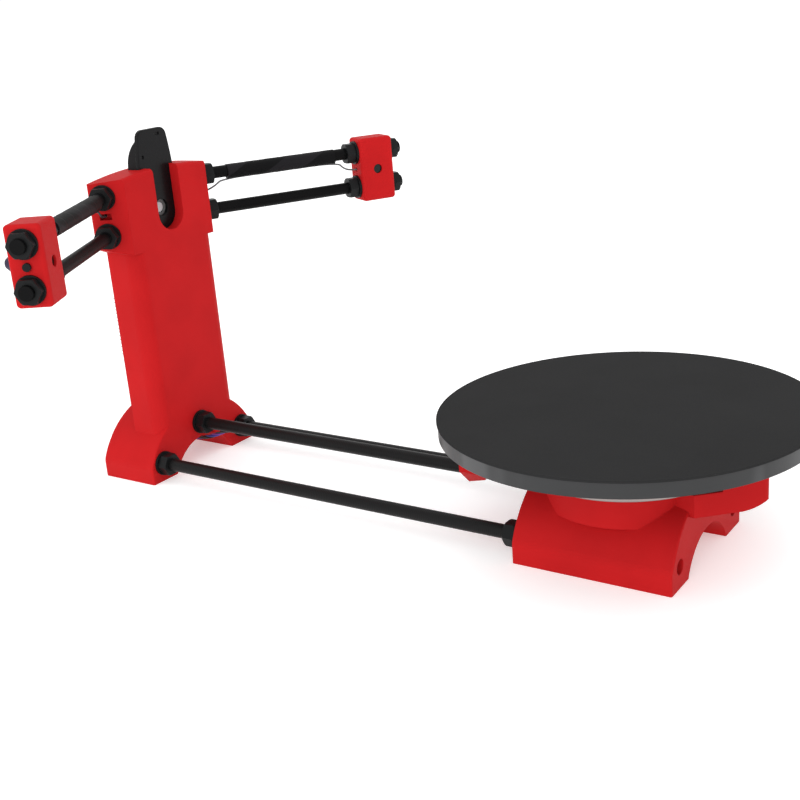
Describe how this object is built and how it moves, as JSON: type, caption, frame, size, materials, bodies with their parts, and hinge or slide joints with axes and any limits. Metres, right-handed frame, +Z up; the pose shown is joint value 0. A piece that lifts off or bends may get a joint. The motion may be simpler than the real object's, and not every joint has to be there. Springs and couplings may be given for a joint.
{
  "type": "desktop 3d scanner",
  "caption": "Open-frame desktop 3D scanner: a motor-driven turntable joined by rods to a tower that carries a webcam and swept arms with line lasers.",
  "frame": {"origin": "on the floor under the middle of the length and width", "axes": "+X from the tower to the turntable, the way that the webcam looks; +Y the scanner's own left; +Z up"},
  "size_m": [0.457, 0.3466, 0.2243],
  "materials": {
    "red_plastic": "satin printed plastic",
    "black_rod": "blackened steel",
    "black_nut": "blackened steel",
    "sleeve": "spiral-wound black tape",
    "lead": "soft black insulation",
    "laser_barrel": "dark anodised",
    "laser_cap": "dark purple",
    "laser_lens": "polished",
    "webcam_front": "gloss black",
    "webcam_back": "fine-textured black",
    "lens_ring": "silver grey",
    "camera_glass": "coated",
    "circuit_board": "solder mask",
    "black_socket": "moulded",
    "white_plug": "moulded",
    "tin": "tinned",
    "screw_steel": "plated",
    "heat_sink": "anodised",
    "button_cap": "moulded",
    "bearing_steel": "ground",
    "ball_steel": "polished",
    "cage_metal": "pressed",
    "disc_board": "sawn edge",
    "mat_rubber": "matt rubber sheet",
    "motor_cap": "die cast",
    "motor_core": "laminated",
    "motor_wire": "wire bundle"
  },
  "bodies": {
    "frame": {"arm_end_nuts": "black_nut", "arm_nuts": "black_nut", "arm_rod_lower_left": "black_rod", "arm_rod_lower_right": "black_rod", "arm_rod_upper_left": "black_rod", "arm_rod_upper_right": "black_rod", "arm_washers": "black_nut", "base_nuts": "black_nut", "base_rod_left": "black_rod", "base_rod_middle": "black_rod", "base_rod_right": "black_rod", "base_washers": "black_nut", "bearing_inner_race": "bearing_steel", "board_screws": "screw_steel", "camera_tower": "red_plastic", "control_board": "circuit_board", "driver_heat_sink": "heat_sink", "driver_module": "circuit_board", "laser_holder_left": "red_plastic", "laser_holder_right": "red_plastic", "laser_lead_left": "lead", "laser_lead_right": "lead", "laser_lock_screws": "black_nut", "lead_plugs": "white_plug", "lead_sleeve_left": "sleeve", "lead_sleeve_right": "sleeve", "motor_end_caps": "motor_cap", "motor_holder": "red_plastic", "motor_lead": "motor_wire", "motor_screws": "screw_steel", "motor_socket": "white_plug", "motor_stator": "motor_core", "power_socket": "black_socket", "reset_button_housing": "black_socket", "socket_strips": "black_socket", "usb_socket": "tin", "webcam_bezel": "webcam_front", "webcam_cable_gland": "lead", "webcam_lens": "camera_glass", "webcam_lens_ring": "lens_ring", "webcam_screw": "screw_steel", "webcam_sensor_board": "circuit_board", "webcam_shell": "webcam_back"},
    "turntable": {"disc_carrier": "red_plastic", "turntable_disc": "disc_board", "non_slip_mat": "mat_rubber", "carrier_screws": "screw_steel", "bearing_outer_race": "bearing_steel", "motor_shaft": "bearing_steel"},
    "ball_cage": {"bearing_cage": "cage_metal", "bearing_balls": "ball_steel"},
    "laser_left": {"laser_barrel_left": "laser_barrel", "laser_lens_left": "laser_lens", "laser_cap_left": "laser_cap"},
    "laser_right": {"laser_barrel_right": "laser_barrel", "laser_lens_right": "laser_lens", "laser_cap_right": "laser_cap"},
    "reset_button": {"reset_button": "button_cap"}
  },
  "joints": [
    {"name": "turntable_spin", "type": "hinge", "parent": "frame", "child": "turntable", "pos_m": [0.1285, 0, 0.069], "axis": [0, 0, 1], "continuous": true},
    {"name": "ball_cage_spin", "type": "hinge", "parent": "frame", "child": "ball_cage", "pos_m": [0.1285, 0, 0.0541], "axis": [0, 0, 1], "continuous": true},
    {"name": "laser_left_roll", "type": "hinge", "parent": "frame", "child": "laser_left", "pos_m": [-0.13205, 0.15299, 0.176], "axis": [0.8623, -0.5063, 0], "range_deg": [-20, 20]},
    {"name": "laser_right_roll", "type": "hinge", "parent": "frame", "child": "laser_right", "pos_m": [-0.13205, -0.15299, 0.176], "axis": [0.8623, 0.5063, 0], "range_deg": [-20, 20]},
    {"name": "reset_press", "type": "slide", "parent": "frame", "child": "reset_button", "axis": [1, 0, 0], "range_m": [0, 0.00025], "stiffness_N_per_m": 400, "springref_m": -0.0003}
  ],
  "couplings": [
    {"joint": "ball_cage_spin", "follows": "turntable_spin", "ratio": 0.54778}
  ]
}
